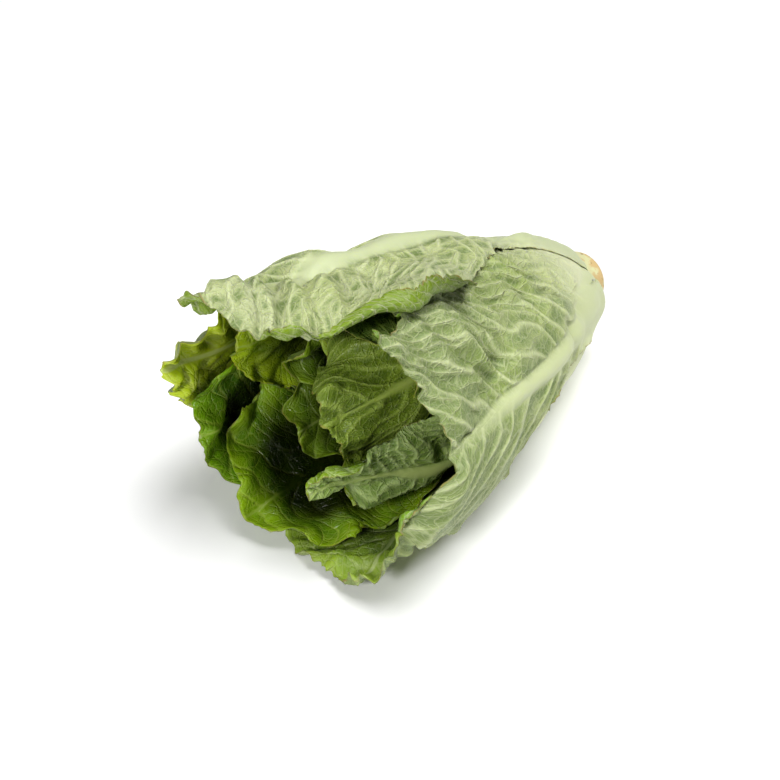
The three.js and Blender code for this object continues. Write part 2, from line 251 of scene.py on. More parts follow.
finish = Finish("stem_flesh")
spot = finish.place()
past_cut = finish.marked("past_cut")
dried = finish.step(2.5, 0.2, finish.add(past_cut, finish.cloud(spot, 3)))
from_middle = finish.marked("from_middle")
ring = finish.step(0.62, 0.98, finish.add(from_middle, finish.times(0.2, finish.cloud(spot, 4))))
strands = finish.step(0.62, 0.75, finish.cloud(spot, 2.2, 2.0))
low = finish.step(STEM_PROUD + 6.0, STEM_PROUD - 4.0, past_cut)
scarred = finish.times(low, finish.step(0.4, 0.58, finish.cloud(spot, 7.0)))
specks = finish.step(0.6, 0.68, finish.cloud(spot, 3.2))
flesh = finish.blend(finish.times(0.5, finish.cloud(spot, 6)), FLESH, GREEN_FLESH)
flesh = finish.blend(finish.times(0.85, scarred), flesh, SCAR_TAN)
flesh = finish.blend(finish.times(scarred, specks), flesh, CUT_BROWN)
cut = finish.blend(finish.add(finish.times(0.75, ring), finish.times(0.35, strands)), CUT_TAN, CUT_BROWN)
cut = finish.blend(finish.step(0.35, 0.65, finish.cloud(spot, 5)), cut, CUT_PALE)
finish.put(finish.surface.inputs["Base Color"], finish.blend(dried, flesh, cut))
finish.put(finish.surface.inputs["Roughness"], finish.step(0.3, 0.7, finish.cloud(spot, 3), 0.5, 0.75))
grain = finish.times(0.5, finish.cloud(spot, 1.6))
finish.raised(finish.add(grain, finish.times(0.4, strands, dried)), 0.8)
stem.data.materials.append(finish.material)
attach(stem, "root")
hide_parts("stem")

# The heart leaves are the youngest: small, thin, yellow-green and crinkled, curled round the growing
# point. Each grows from the stem by a pale rib that is thick at its root, and each is laid over the
# leaves inside it, which the cover stands for: how far they reach, by distance along and angle.
# In the tables, around is where a rib starts, drift its turn by the tip, root and tip the leaf's ends
# along the head, and half its half width, of which blunt is left at the tip. recess is how far the tip's
# edge stays behind its middle. level and flare are the share of the outline that it lies at, and lift and
# nod its margins' rise. Two values are for the side at smaller angles and the side at larger ones.
# Of a kind, spacing is between side veins, span is the length of a rumple, rib_seen widens the rib's
# pale strip, and quilt, rumple, folds, frill and ragged are heights or depths.
ROOT_HALF, ROOT_SHARE = 18, 0.36
WIDE_FROM, WIDENS, ROUNDED_FROM = 0.6, 1.35, 0.62
LOBES, LOBE_DEPTH = 6, 0.04
BLADE, EDGE_SHARE = 1.0, 0.45
RIB_RISE, RIB_RISE_SHARE, RIB_TIP_RISE, RIB_TIP_HALF = 4.6, 0.07, 0.5, 5
MARGIN_WAVES = 3.5
NOTCH_SPAN, BITE_SPAN, BITE_SHARE = 7, 23, 0.6
FRILL_SPAN, FOLD_SPAN = 19, 30
ROLL_RADIUS, ROLL_BEGINS_OVER, ROLL_ENDS_OVER = 5, 0.25, 0.2
ROOT_GAP, BLADE_GAP, SOFT_MEETING = 0.7, 1.2, 2.5
FLATTENED_UNDER, PRESS, FLAT_BLADE = 16, 0.0085, 0.8
ALONG_STEP, ALONG_CELLS, ANGLE_CELLS = 2.5, 128, 144
ROOT_REACH, COVER_REACH, ROOT_ROWS = 1, 4, 44
VEIN_LEAN, VEIN_BOW, VEIN_WANDER, VEIN_KINK = 0.9, 0.005, 7, 2.2
VEIN_SPANS, FIRST_VEIN, VEIN_STAGGER = (60, 24), 20.45, 0.4
BRANCH_FROM, BRANCH_SPREAD, BRANCH_OVER, BRANCH_TURN = 7, 26, 20, 0.618
CELL_LENGTH, CELL_WANDER, CELL_SPAN = 0.75, 2.5, 21
CELL_TURN = 0.618  # of the cells between one vein and the next
TIP_CROWDING, MARGIN_CROWDING = 1.1, 1.12
SHEET = 0.1  # the unshaped sheet's thickness, by which its two faces are told apart
MIDDLE_NET, FINE_NET = 5.2, 2.1
BROAD_PATCHES, MOTTLES, GRAIN = 38.0, 11.0, 1.1
# The browned rim of a leaf, and the black that the painted shade on a face is blended towards.
RIM_BROWN, PAINTED_SHADE_BLACK = (0.27, 0.17, 0.04, 1), (0, 0, 0, 1)

HEART = dict(
    slot="heart_leaf", rows=96, columns=56, spacing=9, rib_seen=1.15,
    quilt=0.6, rumple=1.4, span=21, folds=1.0, frill=2.8, ragged=1.2,
    shades=dict(
        rib=(0.42, 0.5, 0.13, 1), vein=(0.34, 0.44, 0.08, 1), root=(0.72, 0.72, 0.4, 1),
        back=(0.26, 0.37, 0.05, 1), dimple=(0.13, 0.21, 0.012, 1), sappy=(0.3, 0.42, 0.04, 1),
        face=(0.16, 0.25, 0.01, 1), deep=(0.06, 0.11, 0.004, 1), fresh=(0.28, 0.4, 0.02, 1),
        roughness=0.24))
HEART_LEAVES = [
    dict(name="heart_bud", around=200, drift=10, root=58, tip=150, half=17, blunt=0.5, recess=0.16,
         level=0.13, flare=0.02, lift=0, wave=1),
    dict(name="heart_leaf_1", around=60, drift=-10, root=54, tip=176, half=26, blunt=0.5, recess=0.16,
         level=0.2, flare=0.02, lift=0.02, wave=2),
    dict(name="heart_leaf_2", around=285, drift=10, root=50, tip=188, half=30, blunt=0.5, recess=0.16,
         level=0.26, flare=0.02, lift=0.02, wave=3),
    dict(name="heart_leaf_3", around=165, drift=0, root=46, tip=204, half=36, blunt=0.5, recess=0.16,
         level=0.3, flare=0.04, lift=0.03, wave=3),
    dict(name="heart_leaf_4", around=240, drift=0, root=42, tip=204, half=42, blunt=0.5, recess=0.16,
         level=0.36, flare=0.03, lift=0.04, wave=4),
    dict(name="heart_leaf_5", around=100, drift=20, root=39, tip=226, half=44, blunt=0.6, recess=0.12,
         level=0.42, flare=0.04, lift=0.04, wave=4),
    dict(name="heart_leaf_6", around=42, drift=0, root=36, tip=266, half=66, blunt=0.75, recess=0.06,
         level=0.52, flare=-0.26, lift=0.04, wave=4,
         own=dict(rows=130, columns=90, spacing=15, quilt=0.9, rumple=2.6, folds=0.4, span=42),
         shades=dict(rib=(0.38, 0.47, 0.1, 1), vein=(0.33, 0.43, 0.08, 1), back=(0.22, 0.32, 0.03, 1),
                     dimple=(0.08, 0.13, 0.008, 1), sappy=(0.26, 0.36, 0.025, 1), roughness=0.18)),
]

cover = np.zeros((ALONG_CELLS, ANGLE_CELLS))


def gathered(grid, reach, combine):
    """Each cell's neighbours within reach, combined. The angles go round, and the rows end."""
    rows = np.pad(grid, ((reach, reach), (0, 0)), mode="edge")
    padded = np.pad(rows, ((0, 0), (reach, reach)), mode="wrap")
    steps = range(2 * reach + 1)
    return combine([padded[i:i + ALONG_CELLS, j:j + ANGLE_CELLS] for i in steps for j in steps], axis=0)


def softened(grid):
    """The cover widened and then blurred by the same reach, so that it never falls below its leaves."""
    near_root = np.arange(ALONG_CELLS)[:, None] < ROOT_ROWS
    for combine in (np.max, np.mean):
        close, wide = gathered(grid, ROOT_REACH, combine), gathered(grid, COVER_REACH, combine)
        grid = np.where(near_root, close, wide)
    return grid


def cover_at(soft, along, angle):
    row, column = along / ALONG_STEP, angle / (2 * np.pi) * ANGLE_CELLS
    i, j = np.floor(row).astype(int), np.floor(column).astype(int)
    p, q = row - i, column - j

    def cell(di, dj):
        return soft[np.clip(i + di, 0, ALONG_CELLS - 1), (j + dj) % ANGLE_CELLS]

    return mix(mix(cell(0, 0), cell(0, 1), q), mix(cell(1, 0), cell(1, 1), q), p)


def add_to_cover(points):
    """Raises the cover to the points, by the opposite of what laid does."""
    z = points[:, 2] - STEM_HEIGHT
    along = z * math.sin(LIE_ANGLE) - points[:, 0] * math.cos(LIE_ANGLE)
    sag = MOUTH_SAG * smooth(SAG_FROM, SAG_TO, along)
    rise = z * math.cos(LIE_ANGLE) + points[:, 0] * math.sin(LIE_ANGLE) + sag
    share = np.hypot(points[:, 1], rise) / outline_radius(along)
    column = np.arctan2(rise, -points[:, 1]) / (2 * np.pi) * ANGLE_CELLS
    row = np.clip(np.rint(along / ALONG_STEP).astype(int), 0, ALONG_CELLS - 1)
    np.maximum.at(cover, (row, np.rint(column).astype(int) % ANGLE_CELLS), share)


def sided(value, v):
    return np.where(v < 0, value[0], value[1]) if isinstance(value, (list, tuple)) else value


def recessed(leaf, v):
    """How far the tip's edge is behind the longest leaf's, from one rule or five places across."""
    values = leaf["recess"]
    if not isinstance(values, list):
        return values * v * v
    place = (np.clip(v, -1, 0.999) + 1) * 2
    start = np.floor(place).astype(int)
    values = np.array(values)
    return mix(values[start], values[start + 1], smooth(0, 1, place - start))


def half_width(leaf, u, v):
    half = sided(leaf["half"], v)
    widening = 1 - np.maximum(1 - u / WIDE_FROM, 0) ** leaf.get("widens", WIDENS)
    if "late" in leaf:
        widening = np.where(v < 0, smooth(*leaf["late"], u), widening)
    widened = mix(np.minimum(ROOT_HALF, half * ROOT_SHARE), half, widening)
    rounding = mix(1, sided(leaf["blunt"], v), smooth(ROUNDED_FROM, 1, u) ** 1.5)
    lobes = 1 + LOBE_DEPTH * smooth(0.3, 0.6, u) * np.sin(2 * np.pi * LOBES * u + leaf["around"])
    return widened * rounding * lobes


def rib_half(leaf, u):
    widest = np.max(leaf["half"])
    root = min(ROOT_HALF, widest * ROOT_SHARE)
    return mix(root, RIB_TIP_HALF, smooth(0, 0.5, u)) * mix(1, 0.4, smooth(0.5, 1, u))


def thickness(leaf, u, across, edge):
    rise = min(RIB_RISE, np.max(leaf["half"]) * RIB_RISE_SHARE) * np.maximum(1 - u, 0) ** 1.3 + RIB_TIP_RISE
    rib = np.maximum(1 - (across / rib_half(leaf, u)) ** 2, 0) ** 1.3
    return BLADE * mix(EDGE_SHARE, 1, smooth(0, 3, edge)) + rise * rib * mix(0.45, 1, smooth(0, 0.03, u))


def turn_at(leaf, u, v):
    roll = leaf.get("roll")
    if not roll:
        return np.zeros_like(v)
    turn = math.radians(roll["turn"]) * smooth(roll["from"], roll["from"] + ROLL_BEGINS_OVER, u)
    return np.where(roll["side"] * v > 0, turn * smooth(roll["to"], roll["to"] - ROLL_ENDS_OVER, u), 0)


def rolled_past(distance, fold, turn):
    """A strip past a fold turns outwards round a small radius, and then runs straight."""
    past = np.maximum(distance - fold, 0)
    angle = np.minimum(past / ROLL_RADIUS, turn)
    straight = past - angle * ROLL_RADIUS
    along = fold + ROLL_RADIUS * np.sin(angle) + straight * np.cos(angle)
    off = ROLL_RADIUS * (1 - np.cos(angle)) + straight * np.sin(angle)
    turned = (past > 0) & (turn > 0)
    return np.where(turned, along, distance), np.where(turned, off, 0)


def vein_phase(leaf, kind, u, v):
    """Counts the side veins from root to tip, and the cells between two of them from rib to margin."""
    side, across = np.where(v > 0, 1, -1), np.abs(v) * half_width(leaf, u, v)
    past = (leaf["tip"] - leaf["root"]) * u
    seed = int(leaf["around"]) * 7
    wander = VEIN_WANDER * ripples(across * side, past, VEIN_SPANS[0], seed)
    wander = wander + VEIN_KINK * ripples(across * side, past, VEIN_SPANS[1], seed + 1)
    leaning = past - VEIN_LEAN * across - VEIN_BOW * across ** 2
    veins = (leaning + wander) / kind["spacing"] + FIRST_VEIN + VEIN_STAGGER * side
    stretch = across + CELL_WANDER * ripples(past, across * side, CELL_SPAN, seed + 2)
    return veins, stretch / (CELL_LENGTH * kind["spacing"])


def branched(veins, across):
    """How far each gap's branch has left its vein for the gap's middle, from 0 to 1."""
    start = BRANCH_FROM + BRANCH_SPREAD * (np.floor(veins) * BRANCH_TURN % 1)
    return smooth(start, start + BRANCH_OVER, np.abs(across))


def quilted(leaf, kind, u, v):
    """How far the blade between the veins swells, from 0 on a vein to 1."""
    veins, cells = vein_phase(leaf, kind, u, v)
    leaving = branched(veins, v * half_width(leaf, u, v))
    share = veins % 1
    cells = cells + (2 * np.floor(veins) + (share > 0.5 * leaving)) * CELL_TURN
    off_branch = np.where(leaving > 0.02, np.abs(share - 0.5 * leaving), 0.5)
    off_vein = np.minimum(np.abs((veins + 0.5) % 1 - 0.5), off_branch)
    return smooth(-0.05, 0.26, off_vein) * np.sin(np.pi * (cells % 1)) ** 0.6


def torn(x, y, seed):
    """How deep a margin's small notches and larger bites are."""
    return np.abs(ripples(x, y, NOTCH_SPAN, seed)) + BITE_SHARE * ripples(x, y, BITE_SPAN, seed + 1)


def inner_points(leaf, kind, soft, u, v):
    """The inner face of a leaf, laid over the cover, at u along it and v across it."""
    half, length, seed = half_width(leaf, u, v), leaf["tip"] - leaf["root"], int(leaf["around"]) * 7
    side = np.sign(v) + 3
    notch = kind["ragged"] * torn(length * u, 40 * side, seed + 2)
    distance = np.abs(v) * half - notch * np.abs(v) ** 10 * smooth(0.1, 0.35, u)
    fold = half * (leaf["roll"]["past"] if "roll" in leaf else 1)
    across, off_margin = rolled_past(distance, fold, turn_at(leaf, u, v))
    jag = kind["ragged"] * torn(half * v, 9, seed + 4)
    past = length * (u - recessed(leaf, v) * smooth(0.5, 1, u) ** 2) - jag * np.clip(u, 0, 1) ** 25
    along = leaf["root"] + past
    outline = outline_radius(along)
    rib = np.radians(leaf["around"] + leaf["drift"] * np.maximum(u, 0) ** 1.5)
    angle = rib + np.sign(v) * across / np.maximum(outline * leaf["level"], 16)

    shift = leaf["around"] + np.where(v > 0, 0.6 * np.pi, 0)
    margins = np.abs(v) ** 2.5 * np.sin(2 * np.pi * MARGIN_WAVES * u + shift)
    tip = 0.8 * smooth(0.75, 1, u) * np.sin(7 * v + leaf["around"])
    wave = leaf["wave"] * (margins + tip) * smooth(0.15, 0.5, u)
    rim = np.maximum(np.abs(v) ** 6, smooth(0.86, 1, u))
    wave = wave + kind["frill"] * rim * ripples(past, half * v, FRILL_SPAN, seed + 6) * smooth(0.1, 0.4, u)
    lean = past - 0.8 * np.abs(half * v)
    off_rib = smooth(0.6, 2.2, np.abs(half * v) / rib_half(leaf, u))
    rumple = kind["rumple"] * ripples(lean, 0.35 * half * v, kind["span"], seed + 7)
    wave = wave + rumple * smooth(0.15, 0.5, u) * off_rib
    crest = 1 - 1.6 * np.abs(ripples(lean, 0.3 * half * v, FOLD_SPAN, seed + 8))
    wave = wave + kind["folds"] * crest * smooth(0.2, 0.6, u) * off_rib

    at_stem = stem_radius(leaf["root"]) / outline_radius(leaf["root"])
    level = mix(at_stem, leaf["level"], smooth(0, 50, past))
    flare = leaf["flare"] * smooth(0.55, 1, u) ** 1.5
    lift = sided(leaf["lift"], v) * v * v * smooth(0.3, 0.8, u)
    nod = sided(leaf.get("nod", 0), v) * v * v * smooth(0.75, 1, u)
    wanted = level + flare + lift - nod + wave / outline
    gap = mix(ROOT_GAP, BLADE_GAP, smooth(30, 130, along)) * mix(1, -0.5, np.abs(v) ** 4) / outline
    least = np.maximum(cover_at(soft, along, angle) + gap, (stem_radius(along) + ROOT_GAP) / outline)
    meeting = (SOFT_MEETING / outline) * smooth(leaf["root"], leaf["root"] + 40, along) + 1e-4
    share = (wanted + least + np.hypot(wanted - least, meeting)) / 2
    return laid(along, share * outline + off_margin, angle)


def leaf_finish(name, kind, shades):
    """Pale raised veins on a leaf's back, and greener, glossier cells on its face.

    Of the shades, dimple lies between the veins of a back, sappy and fresh are the patches of a back and a
    face, and fresh is also painted light along a face's margin. deep mottles a face and root is the pale
    foot. greens says how far a back darkens to its tip, partly its greening and partly painted shade,
    buried how strong the painted shade is that blackens a face deep in the head and away from its
    margins, and line how wide its veins are.
    """
    finish = Finish(name)
    across, past, outside = (finish.marked(each) for each in ("across", "past", "outside"))
    rib, edge, reach = (finish.marked(each) for each in ("rib", "edge", "reach"))
    veins, cells = finish.marked("veins"), finish.marked("cells")
    spacing, depth = kind["spacing"], finish.times(outside, 30.0)
    spot = finish.place(across, past, depth)
    tremble = finish.add(finish.cloud(spot, 4.0), -0.5)
    bent_across = finish.add(across, finish.times(tremble, 3.5))
    bent_past = finish.add(past, finish.times(tremble, -4.0))
    bent = finish.place(bent_across, bent_past, depth)

    def strokes(off, width):
        """A line with soft sides where a share of the veins' spacing is nearly 0."""
        return finish.step(0.9 * width / spacing, 0.1 * width / spacing, off)

    def off_whole(phase):
        """How far a count is from the nearest whole number."""
        share = finish.calc("FRACT", finish.add(phase, 0.5))
        return finish.calc("ABSOLUTE", finish.calc("SUBTRACT", share, 0.5))

    phase = finish.add(veins, finish.times(tremble, 1.6 / spacing))
    gap, share = finish.calc("FLOOR", phase), finish.calc("FRACT", phase)
    turned = finish.calc("FRACT", finish.times(gap, BRANCH_TURN))
    start = finish.add(BRANCH_FROM, finish.times(BRANCH_SPREAD, turned))
    off_rib = finish.calc("ABSOLUTE", across)
    leaving = finish.step(0.0, BRANCH_OVER, finish.calc("SUBTRACT", off_rib, start))
    off_branch = finish.calc("ABSOLUTE", finish.calc("SUBTRACT", share, finish.times(0.5, leaving)))
    off_branch = finish.add(off_branch, finish.step(0.04, 0.0, leaving))
    beyond = finish.calc("GREATER_THAN", share, finish.times(0.5, leaving))
    shifted = finish.add(cells, finish.times(CELL_TURN, finish.add(finish.times(2.0, gap), beyond)))
    shifted = finish.add(shifted, finish.times(tremble, 2.2 / spacing))
    odd = finish.calc("FRACT", finish.times(0.7549, finish.calc("ROUND", phase)))

    off_vein = finish.calc("MINIMUM", off_whole(phase), off_branch)
    widest = finish.add(1.0, finish.times(0.9, outside))
    width = finish.times(shades.get("line", 1.0), finish.step(55.0, 4.0, off_rib, 0.55, widest))
    sides = [finish.times(width, each / spacing) for each in (1.5, 0.1)]
    vein = finish.step(*sides, off_whole(phase))
    faded = finish.step(0.3, 0.6, finish.cloud(spot, 17.0), 0.45, 1.0)
    vein = finish.times(vein, finish.add(0.45, finish.times(0.55, odd)), faded)
    branch = finish.times(0.75, faded, strokes(off_branch, 0.9))
    cross = finish.times(0.5, faded, strokes(off_whole(shifted), 0.8))
    main = finish.calc("MAXIMUM", vein, finish.calc("MAXIMUM", branch, cross))
    halo = finish.step(2.8 / spacing, 0.0, off_vein)
    middling = finish.step(0.1, 0.01, finish.net(bent, MIDDLE_NET))
    fine = finish.step(0.12, 0.01, finish.net(bent, FINE_NET))
    swell = finish.times(finish.step(0.0, 0.26, off_vein), finish.step(0.03, 0.35, off_whole(shifted)))
    mottle = finish.cloud(spot, MOTTLES, 4.0)
    broad = finish.cloud(spot, BROAD_PATCHES, 2.0)
    grain = finish.cloud(spot, GRAIN)

    sunk = finish.times(finish.step(0.32, 0.56, mottle), finish.add(0.2, finish.times(0.8, swell)))
    back = finish.blend(finish.step(0.35, 0.65, broad), shades["back"], shades["sappy"])
    back = finish.blend(sunk, back, shades["dimple"])
    # The back darkens towards its tip, partly as the leaf greens there and partly as painted shade in place
    # of lamp light.
    greened_and_shaded = finish.step(0.3, 0.95, reach, 0.0, shades.get("greening_and_shade", 0.6))
    back = finish.blend(greened_and_shaded, back, shades["dimple"])
    back = finish.blend(finish.times(0.5, faded, halo), back, shades["vein"])
    back = finish.blend(finish.times(0.3, middling), back, shades["vein"])
    back = finish.blend(finish.times(0.22, fine), back, shades["vein"])
    back = finish.blend(finish.times(finish.step(0.05, 0.45, reach, 0.1, 0.6), main), back, shades["vein"])
    back = finish.blend(finish.step(0.5, 0.05, reach, 0.0, 0.85), back, shades["root"])

    face = finish.blend(finish.step(0.3, 0.7, mottle), shades["face"], shades["deep"])
    # Random patches of fresher green are the face's own tone; the brighter strip along its margin is painted
    # light, where the edges catch it.
    patches = finish.times(0.6, finish.step(0.42, 0.66, broad))
    patches_and_lit_margin = finish.calc("MAXIMUM", patches, finish.step(16.0, 1.0, edge, 0.0, 0.7))
    face = finish.blend(patches_and_lit_margin, face, shades.get("fresh", shades["sappy"]))
    face = finish.blend(finish.times(0.22, middling), face, shades["vein"])
    face = finish.blend(finish.times(0.12, fine), face, shades["vein"])
    face = finish.blend(finish.times(0.85, main), face, shades["vein"])
    # Painted shade: a face is blended towards black deep in the head and far from its margins, standing in
    # for the shade there.
    painted_shade = finish.calc("MAXIMUM", finish.step(0.88, 0.6, reach), finish.step(6.0, 34.0, edge))
    painted_shade = finish.times(shades.get("painted_shade", 0.95), painted_shade)
    face = finish.blend(painted_shade, face, PAINTED_SHADE_BLACK)
    face = finish.blend(finish.step(0.2, 0.02, reach, 0.0, 0.5), face, shades["root"])

    colour = finish.blend(outside, face, back)
    narrow = finish.times(0.4, finish.step(0.85, 0.99, rib), finish.step(1.0, 0.0, painted_shade))
    rib = finish.times(rib, finish.step(1.0, 0.6, reach, 0.35, 1.0))
    colour = finish.blend(finish.blend(outside, narrow, finish.step(0.0, 1.0, rib)), colour, shades["rib"])
    rim = finish.times(finish.step(1.1, 0.2, edge), finish.step(0.46, 0.6, finish.cloud(spot, 9.0)))
    colour = finish.blend(finish.times(0.6, rim), colour, RIM_BROWN)
    finish.put(finish.surface.inputs["Base Color"], colour)

    uneven = finish.times(0.3, finish.add(mottle, -0.5))
    roughness = finish.add(shades["roughness"], uneven, finish.times(0.12, outside))
    finish.put(finish.surface.inputs["Roughness"], roughness)
    lines = finish.add(finish.times(0.7, main), finish.times(0.35, middling), finish.times(0.15, fine))
    way = finish.add(-0.7, finish.times(1.7, outside))
    blade = finish.step(0.5, 0.0, rib)
    relief = finish.add(finish.times(lines, way), finish.times(0.15, grain), finish.times(1.2, mottle))
    finish.raised(finish.times(relief, blade), 1.0)
    finish.surface.inputs["Specular IOR Level"].default_value = 0.32
    finish.surface.inputs["Subsurface Weight"].default_value = 0.3
    finish.surface.inputs["Subsurface Radius"].default_value = (0.8, 1.0, 0.25)
    finish.surface.inputs["Subsurface Scale"].default_value = 0.0012
    return finish.material


def lay_leaf(leaf, kind):
    """Makes one leaf over those laid before it, and adds it to the cover."""
    kind = {**kind, **leaf.get("own", {})}
    bpy.ops.object.select_all(action="DESELECT")
    bpy.ops.mesh.primitive_grid_add(x_subdivisions=kind["columns"], y_subdivisions=kind["rows"], size=2)
    piece = bpy.context.object
    piece.name = leaf["name"] + "_blade"
    piece.modifiers.new("two_faces", "SOLIDIFY").thickness = SHEET
    bpy.ops.object.modifier_apply(modifier="two_faces")

    sheet = coordinates(piece.data)
    u = np.clip((sheet[:, 1] + 1) / 2, 0, 1) ** TIP_CROWDING
    v = np.sign(sheet[:, 0]) * np.abs(np.clip(sheet[:, 0], -1, 1)) ** MARGIN_CROWDING
    outside = sheet[:, 2] > -SHEET / 2
    soft, little = softened(cover), 2e-3

    def face_at(du, dv):
        return inner_points(leaf, kind, soft, u + du, v + dv)

    along = face_at(little, 0) - face_at(-little, 0)
    sideways = face_at(0, little) - face_at(0, -little)
    outwards = np.cross(sideways, along)
    outwards /= np.linalg.norm(outwards, axis=1, keepdims=True)

    half = half_width(leaf, u, v)
    across = v * half
    edge = np.minimum(half * (1 - np.abs(v)), (leaf["tip"] - leaf["root"]) * (1 - u))
    rib = np.maximum(1 - (np.abs(across) / (kind["rib_seen"] * rib_half(leaf, u))) ** 2, 0)
    quilt = kind["quilt"] * (0.5 - quilted(leaf, kind, u, v)) * (1 - rib) * smooth(0.12, 0.4, u)
    height = quilt + np.where(outside, thickness(leaf, u, across, edge), 0)
    points = face_at(0, 0) + outwards * height[:, None]
    add_to_cover(points)

    under = np.maximum(FLATTENED_UNDER - points[:, 2], 0)
    points[:, 2] += PRESS * under ** 2
    points += to_frame
    points[:, 2] = np.maximum(points[:, 2], np.where(outside, 0, FLAT_BLADE))
    shape(piece, points * METRES)

    veins, cells = vein_phase(leaf, kind, u, v)
    marks = dict(across=across, past=(leaf["tip"] - leaf["root"]) * u, outside=outside, rib=rib, edge=edge,
                 reach=u, veins=veins, cells=cells)
    for name, values in marks.items():
        mark(piece, name, values)
    shades = {**kind["shades"], **leaf.get("shades", {})}
    piece.data.materials.append(leaf_finish(leaf["name"] + "_skin", kind, shades))
    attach(piece, "root")
    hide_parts(leaf["name"])


for leaf in HEART_LEAVES:
    lay_leaf(leaf, HEART)

# The inner leaves are half grown: thin, fresh green and glossy, with a curled margin.
INNER = dict(
    slot="inner_leaf", rows=120, columns=76, spacing=12, rib_seen=1.15,
    quilt=0.7, rumple=2.0, span=30, folds=1.2, frill=2.8, ragged=1.4,
    shades=dict(
        rib=(0.42, 0.5, 0.16, 1), vein=(0.3, 0.4, 0.07, 1), root=(0.68, 0.71, 0.4, 1),
        back=(0.27, 0.37, 0.1, 1), dimple=(0.12, 0.2, 0.03, 1), sappy=(0.25, 0.36, 0.05, 1),
        face=(0.1, 0.19, 0.005, 1), deep=(0.03, 0.08, 0.002, 1), fresh=(0.22, 0.34, 0.01, 1),
        roughness=0.24))
INNER_LEAVES = [
    dict(name="inner_leaf_1", around=170, drift=0, root=33, tip=226, half=52, blunt=0.5, recess=0.16,
         level=0.56, flare=0.05, lift=0.04, wave=5),
    dict(name="inner_leaf_2", around=290, drift=0, root=30, tip=236, half=52, blunt=0.5, recess=0.16,
         level=0.6, flare=0.04, lift=0.04, wave=5),
    dict(name="inner_leaf_3", around=92, drift=10, root=27, tip=250, half=54, blunt=0.6, recess=0.1,
         level=0.64, flare=0.04, lift=0.03, wave=4, own=dict(rumple=1.2, folds=0.5, quilt=0.4),
         shades=dict(fresh=(0.2, 0.28, 0.02, 1), face=(0.17, 0.25, 0.015, 1), deep=(0.1, 0.17, 0.008, 1))),
    dict(name="inner_leaf_4", around=348, drift=-26, root=25, tip=282, half=44, blunt=0.6, recess=0.1,
         level=0.7, flare=-0.38, lift=0.03, wave=5, own=dict(quilt=1.4, spacing=9),
         shades=dict(back=(0.3, 0.4, 0.14, 1), dimple=(0.12, 0.2, 0.03, 1), vein=(0.42, 0.52, 0.2, 1))),
    dict(name="inner_leaf_5", around=225, drift=0, root=22, tip=224, half=56, blunt=0.5, recess=0.16,
         level=0.7, flare=0.05, lift=0.03, wave=5),
]
for leaf in INNER_LEAVES:
    lay_leaf(leaf, INNER)

# The middle leaves are full grown and green all through. Their glossy faces make the cup of the mouth.
MIDDLE = dict(
    slot="middle_leaf", rows=140, columns=96, spacing=16, rib_seen=1.15,
    quilt=0.7, rumple=2.2, span=34, folds=1.2, frill=3.0, ragged=1.6,
    shades=dict(
        rib=(0.38, 0.48, 0.1, 1), vein=(0.38, 0.5, 0.06, 1), root=(0.66, 0.7, 0.4, 1),
        back=(0.3, 0.4, 0.13, 1), dimple=(0.14, 0.24, 0.04, 1), sappy=(0.32, 0.5, 0.006, 1),
        face=(0.14, 0.31, 0.003, 1), deep=(0.04, 0.13, 0.001, 1),
        roughness=0.22, line=1.3))
MIDDLE_LEAVES = [
    dict(name="middle_leaf_1", around=45, drift=0, root=20, tip=236, half=58, blunt=0.5, recess=0.16,
         level=0.74, flare=0, lift=0.02, wave=4),
    # This leaf's face is painted brighter than the other middle leaves', as painted light shining through it.
    dict(name="middle_leaf_2", around=155, drift=6, root=17, tip=254, half=62, blunt=0.6, recess=0.14,
         level=0.8, flare=0.04, lift=0.02, wave=4,
         shades=dict(face=(0.26, 0.39, 0.004, 1), deep=(0.14, 0.25, 0.002, 1), sappy=(0.4, 0.52, 0.008, 1),
                     painted_shade=0.8)),
    dict(name="middle_leaf_3", around=246, drift=0, root=15, tip=268, half=66, blunt=0.7, recess=0.12,
         level=0.84, flare=0.08, lift=0.03, wave=5),
    # This leaf's face is painted darker than the other middle leaves', as painted shade inside the cup.
    dict(name="middle_leaf_4", around=206, drift=0, root=13, tip=270, half=[48, 68], blunt=0.65,
         recess=0.12, level=0.88, flare=0.1, lift=0.03, wave=5, own=dict(rumple=1.4, folds=0.8),
         shades=dict(face=(0.08, 0.22, 0.002, 1), deep=(0.02, 0.09, 0.001, 1), sappy=(0.24, 0.46, 0.006, 1))),
]
for leaf in MIDDLE_LEAVES:
    lay_leaf(leaf, MIDDLE)

# The outer leaves are the oldest and largest: pale grey-green on their backs, with broad cream ribs and
# raised whitish veins, rumpled, and torn and a little browned along their edges. Two have a margin
# rolled outwards, which shows the green face: roll gives its side, and where and how far it turns. Their
# sides widen sooner or later than the others': widens is how soon, and late is where the first side does.
OUTER = dict(
    slot="outer_leaf", rows=165, columns=120, spacing=15, rib_seen=1.9,
    quilt=1.4, rumple=2.6, span=21, folds=3.2, frill=2.8, ragged=1.8,
    shades=dict(
        rib=(0.57, 0.62, 0.35, 1), vein=(0.52, 0.57, 0.31, 1), root=(0.74, 0.77, 0.48, 1),
        back=(0.34, 0.39, 0.17, 1), dimple=(0.15, 0.21, 0.06, 1), sappy=(0.32, 0.4, 0.1, 1),
        face=(0.14, 0.27, 0.015, 1), deep=(0.08, 0.18, 0.008, 1), fresh=(0.2, 0.35, 0.025, 1),
        roughness=0.4))
